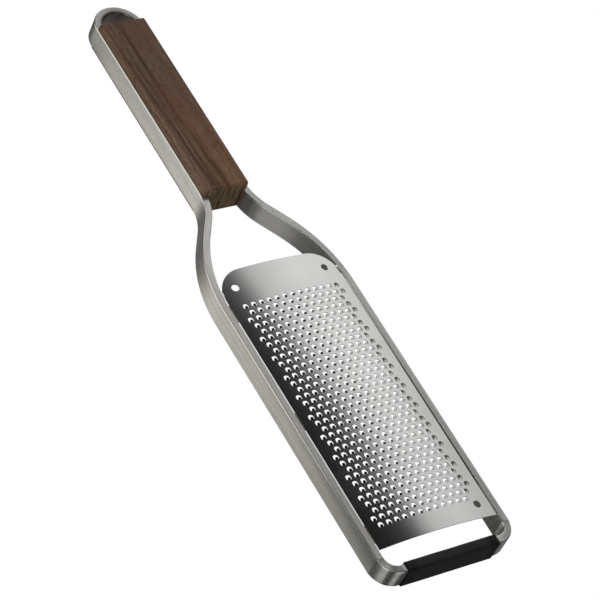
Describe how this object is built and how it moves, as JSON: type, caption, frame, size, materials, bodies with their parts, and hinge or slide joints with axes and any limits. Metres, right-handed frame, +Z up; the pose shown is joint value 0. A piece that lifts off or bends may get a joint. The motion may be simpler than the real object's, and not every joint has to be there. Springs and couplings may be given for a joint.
{
  "type": "rasp zester",
  "caption": "Wide paddle grater: a flat steel bar bent into a loop frames an arched blade of raised teeth, with a grooved walnut handle and a rubber sleeve on the toe.",
  "frame": {"origin": "middle of the underside, in the plane on which the handle's underside and the toe sleeve rest", "axes": "+X along the tool to the toe, +Y to the left of a user who looks along the tool to the toe, +Z up from the teeth"},
  "size_m": [0.3316, 0.072, 0.0156],
  "materials": {
    "satin_bar": "satin, ground along its length",
    "ground_weld": "ground flush",
    "black_rubber": "matte",
    "walnut": "oiled",
    "blade_steel": "polished sheet",
    "tack_weld": "heat tinted"
  },
  "bodies": {
    "root": {"frame_bar": "satin_bar", "toe_weld": "ground_weld", "toe_sleeve": "black_rubber", "walnut_handle": "walnut", "etched_blade": "blade_steel", "blade_tack_welds": "tack_weld"}
  },
  "joints": []
}
